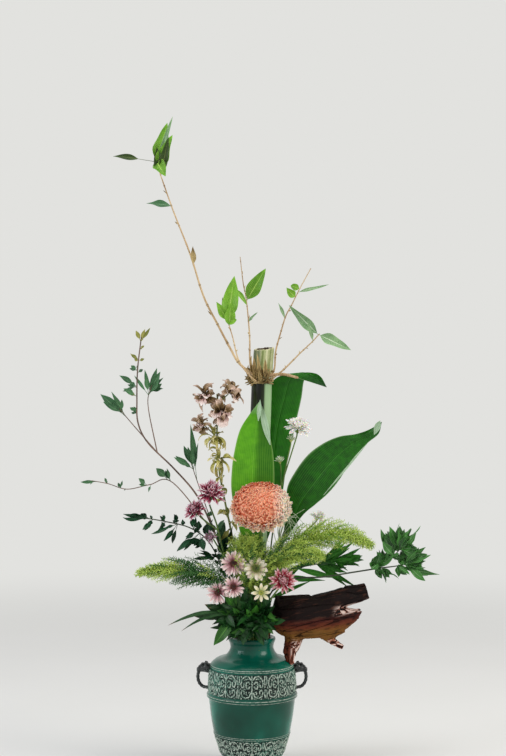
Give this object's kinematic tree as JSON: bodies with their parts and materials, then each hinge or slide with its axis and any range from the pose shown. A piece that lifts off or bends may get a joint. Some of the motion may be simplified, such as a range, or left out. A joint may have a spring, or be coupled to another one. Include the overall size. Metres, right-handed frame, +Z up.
{
  "type": "flower arrangement in a vase",
  "caption": "Tall asymmetrical arrangement of bamboo, broad leaves, chrysanthemums, daisies, leafy branches and driftwood standing in a two-handled relief vase.",
  "frame": {"origin": "centre of the vase's flat underside, where it stands", "axes": "+Z up; -Y is the front of the arrangement, towards the viewer; +X is the side the driftwood leans to"},
  "size_m": [0.572, 0.179, 1.043],
  "materials": {
    "teal_glaze": "gloss",
    "dark_glaze": "satin",
    "driftwood_bark": "matte",
    "bamboo_culm": "satin",
    "bamboo_twig": "matte",
    "bamboo_husk": "matte",
    "aspidistra_leaf": "satin",
    "green_stem": "matte",
    "peach_petal": "matte",
    "orchid_petal": "matte",
    "purple_petal": "matte",
    "red_petal": "matte",
    "pink_petal": "matte",
    "cream_petal": "matte",
    "white_petal": "matte",
    "woody_leaf": "matte",
    "dark_leaf": "satin",
    "plume_green": "matte",
    "pale_grass": "matte"
  },
  "bodies": {
    "root": {"aspidistra_leaf_back": "aspidistra_leaf", "aspidistra_leaf_front": "aspidistra_leaf", "aspidistra_leaf_right": "aspidistra_leaf", "aster_bud_1": "white_petal", "aster_bud_2": "white_petal", "aster_stem": "green_stem", "bamboo_branch_left": "bamboo_twig", "bamboo_branch_long": "bamboo_twig", "bamboo_culm": "bamboo_culm", "bamboo_sheath": "bamboo_husk", "bamboo_spur": "bamboo_twig", "bamboo_twig_right_high": "bamboo_twig", "bamboo_twig_right_low": "bamboo_twig", "bamboo_twig_upright": "bamboo_twig", "branch_left": "woody_leaf", "branch_right": "woody_leaf", "cream_daisy_1": "cream_petal", "cream_daisy_2": "cream_petal", "cream_spray_stem": "green_stem", "daisy_spray_stem": "green_stem", "driftwood": "driftwood_bark", "faded_mum_bloom": "pink_petal", "fern_right": "dark_leaf", "grass_loops": "pale_grass", "handle_left": "dark_glaze", "handle_right": "dark_glaze", "low_foliage": "dark_leaf", "orchid_bloom_1": "orchid_petal", "orchid_bloom_2": "orchid_petal", "orchid_bloom_3": "orchid_petal", "orchid_bloom_4": "orchid_petal", "orchid_bloom_5": "orchid_petal", "orchid_bloom_6": "orchid_petal", "orchid_stem": "green_stem", "peach_mum_bloom": "peach_petal", "peach_mum_stem": "green_stem", "pink_daisy_1": "pink_petal", "pink_daisy_2": "pink_petal", "pink_daisy_3": "pink_petal", "plume_center": "plume_green", "plume_left": "plume_green", "plume_right_middle": "plume_green", "plume_right_upper": "plume_green", "purple_mum_bloom_lower": "purple_petal", "purple_mum_bloom_upper": "purple_petal", "purple_mum_stem": "green_stem", "red_mum_bloom": "red_petal", "red_mum_stem": "green_stem", "small_white_bloom": "white_petal", "small_white_stem": "green_stem", "sprig_left_low": "dark_leaf", "vase_body": "teal_glaze", "white_aster_bloom": "white_petal"}
  },
  "joints": []
}
